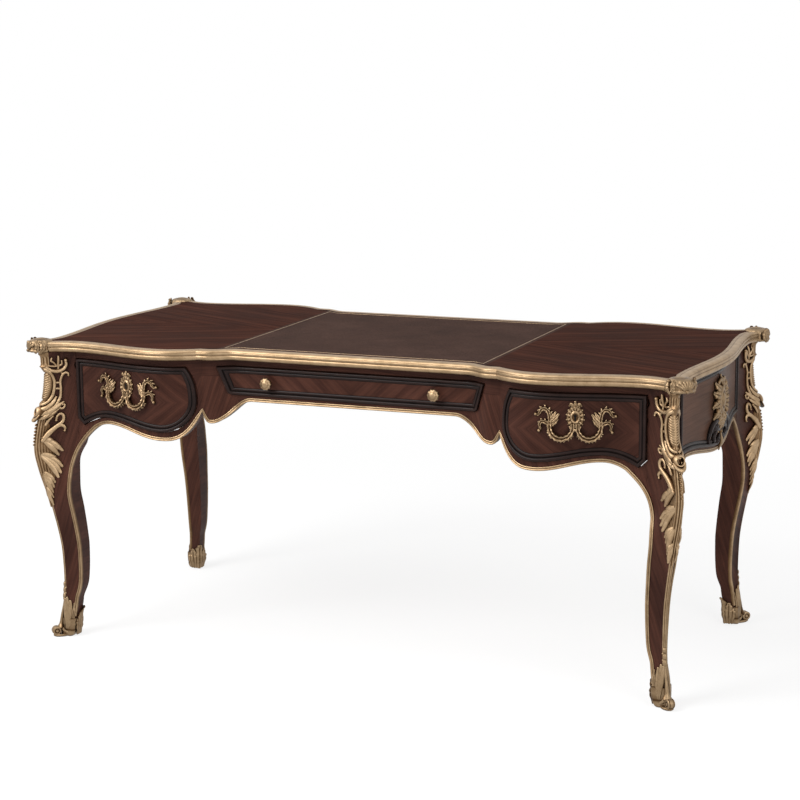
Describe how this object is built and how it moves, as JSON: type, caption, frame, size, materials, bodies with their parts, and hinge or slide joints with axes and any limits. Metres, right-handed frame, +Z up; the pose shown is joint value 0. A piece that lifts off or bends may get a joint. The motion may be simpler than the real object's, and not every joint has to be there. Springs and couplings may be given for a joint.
{
  "type": "writing table",
  "caption": "Large serpentine writing table with a leather-lined top, gilt edge and mounts, cabriole legs and sliding frieze drawers.",
  "frame": {"origin": "on the floor under the middle of the table", "axes": "+X to the right seen from the front, +Y to the back, +Z up; the drawers open towards -Y"},
  "size_m": [1.7294, 0.8294, 0.7849],
  "materials": {
    "gilt_brass": "antique gilt, cast and chased",
    "ebonised_wood": "ebonised, glossy lacquer",
    "mahogany": "figured dark red-brown veneer, semi-gloss",
    "carcass_wood": "plain planed wood, waxed",
    "leather": "dark brown leather with a tooled gilt line",
    "steel": "plain"
  },
  "bodies": {
    "table": {"apron_band_back": "gilt_brass", "apron_band_front": "gilt_brass", "apron_band_left": "gilt_brass", "apron_band_right": "gilt_brass", "back_apron": "mahogany", "back_panel_mouldings": "ebonised_wood", "corner_clasps": "gilt_brass", "drawer_kickers": "carcass_wood", "drawer_runners": "carcass_wood", "drawer_stops": "carcass_wood", "edge_moulding_back": "gilt_brass", "edge_moulding_front": "gilt_brass", "edge_moulding_left": "gilt_brass", "edge_moulding_right": "gilt_brass", "front_centre_rail": "mahogany", "front_post_left": "mahogany", "front_post_right": "mahogany", "front_rail_left": "mahogany", "front_rail_right": "mahogany", "front_top_rail": "mahogany", "knee_mount_back_left": "gilt_brass", "knee_mount_back_right": "gilt_brass", "knee_mount_front_left": "gilt_brass", "knee_mount_front_right": "gilt_brass", "leather_inset": "leather", "leg_back_left": "mahogany", "leg_back_right": "mahogany", "leg_front_left": "mahogany", "leg_front_right": "mahogany", "leg_strips": "gilt_brass", "partition_left": "carcass_wood", "partition_right": "carcass_wood", "shoe_back_left": "gilt_brass", "shoe_back_right": "gilt_brass", "shoe_front_left": "gilt_brass", "shoe_front_right": "gilt_brass", "side_apron_left": "mahogany", "side_apron_right": "mahogany", "side_mounts": "gilt_brass", "side_panel_mouldings": "ebonised_wood", "top_panel": "carcass_wood", "top_screws": "steel", "top_veneers": "mahogany"},
    "left_drawer": {"left_drawer_boards": "carcass_wood", "left_drawer_bottom": "carcass_wood", "left_drawer_front": "mahogany", "left_drawer_lock": "gilt_brass", "left_drawer_moulding": "ebonised_wood", "left_drawer_pull": "gilt_brass"},
    "right_drawer": {"right_drawer_boards": "carcass_wood", "right_drawer_bottom": "carcass_wood", "right_drawer_front": "mahogany", "right_drawer_lock": "gilt_brass", "right_drawer_moulding": "ebonised_wood", "right_drawer_pull": "gilt_brass"},
    "centre_drawer": {"centre_drawer_boards": "carcass_wood", "centre_drawer_bottom": "carcass_wood", "centre_drawer_front": "mahogany", "centre_drawer_knobs": "gilt_brass", "centre_drawer_moulding": "ebonised_wood"}
  },
  "joints": [
    {"name": "left_drawer_slide", "type": "slide", "parent": "table", "child": "left_drawer", "axis": [0, -1, 0], "range_m": [0, 0.36]},
    {"name": "right_drawer_slide", "type": "slide", "parent": "table", "child": "right_drawer", "axis": [0, -1, 0], "range_m": [0, 0.36]},
    {"name": "centre_drawer_slide", "type": "slide", "parent": "table", "child": "centre_drawer", "axis": [0, -1, 0], "range_m": [0, 0.34]}
  ]
}
